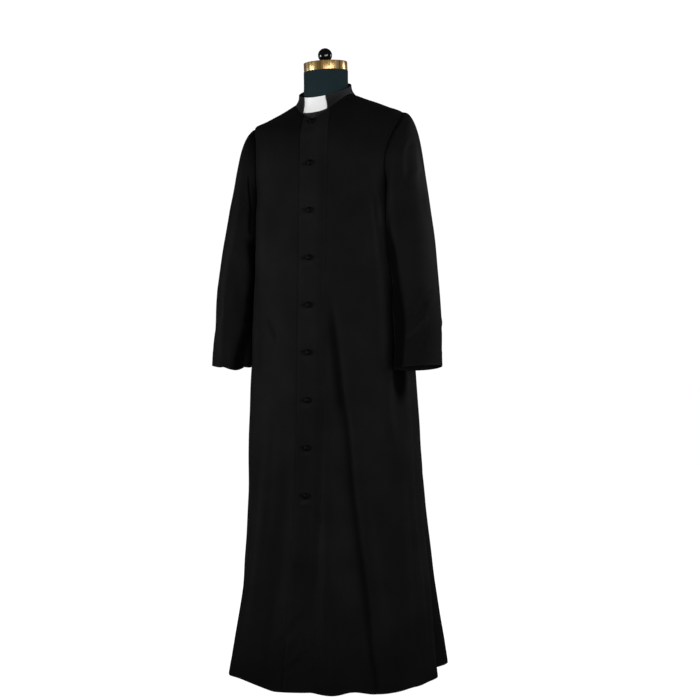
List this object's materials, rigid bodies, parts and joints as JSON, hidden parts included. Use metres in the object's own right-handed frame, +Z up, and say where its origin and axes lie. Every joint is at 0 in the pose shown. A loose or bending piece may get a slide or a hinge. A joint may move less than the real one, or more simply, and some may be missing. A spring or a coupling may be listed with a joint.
{
  "type": "cassock on a dress form",
  "caption": "Full-length black single-breasted cassock with a buttoned front band, stand collar with white tab and long sleeves, worn by a limbless dress form on a round-based stand.",
  "frame": {"origin": "on the floor, at the middle of the stand base's flat underside", "axes": "+Z up along the stand's pole, the garment's front faces -Y, the wearer's left side is +X"},
  "size_m": [0.6222, 0.4573, 1.5849],
  "materials": {
    "black_cloth": "matt black wool-blend twill with a slight sheen",
    "black_button": "black satin-weave cloth over a domed mould",
    "white_tab": "smooth white, semi-matt",
    "form_jersey": "dark blue-green fine jersey, stretched smooth",
    "gold_metal": "polished gold-coloured band and top",
    "black_gloss": "turned knob, gloss black",
    "stand_steel": "black powder coat"
  },
  "bodies": {
    "root": {"front_left": "black_cloth", "front_right": "black_cloth", "back": "black_cloth", "sleeve_left": "black_cloth", "sleeve_right": "black_cloth", "collar": "black_cloth", "front_band": "black_cloth", "button_1": "black_button", "button_2": "black_button", "button_3": "black_button", "button_4": "black_button", "button_5": "black_button", "button_6": "black_button", "button_7": "black_button", "button_8": "black_button", "button_9": "black_button", "collar_tab": "white_tab", "form_torso": "form_jersey", "neck_cap": "gold_metal", "cap_knob": "black_gloss", "stand_pole": "stand_steel", "stand_base": "stand_steel"}
  },
  "joints": []
}
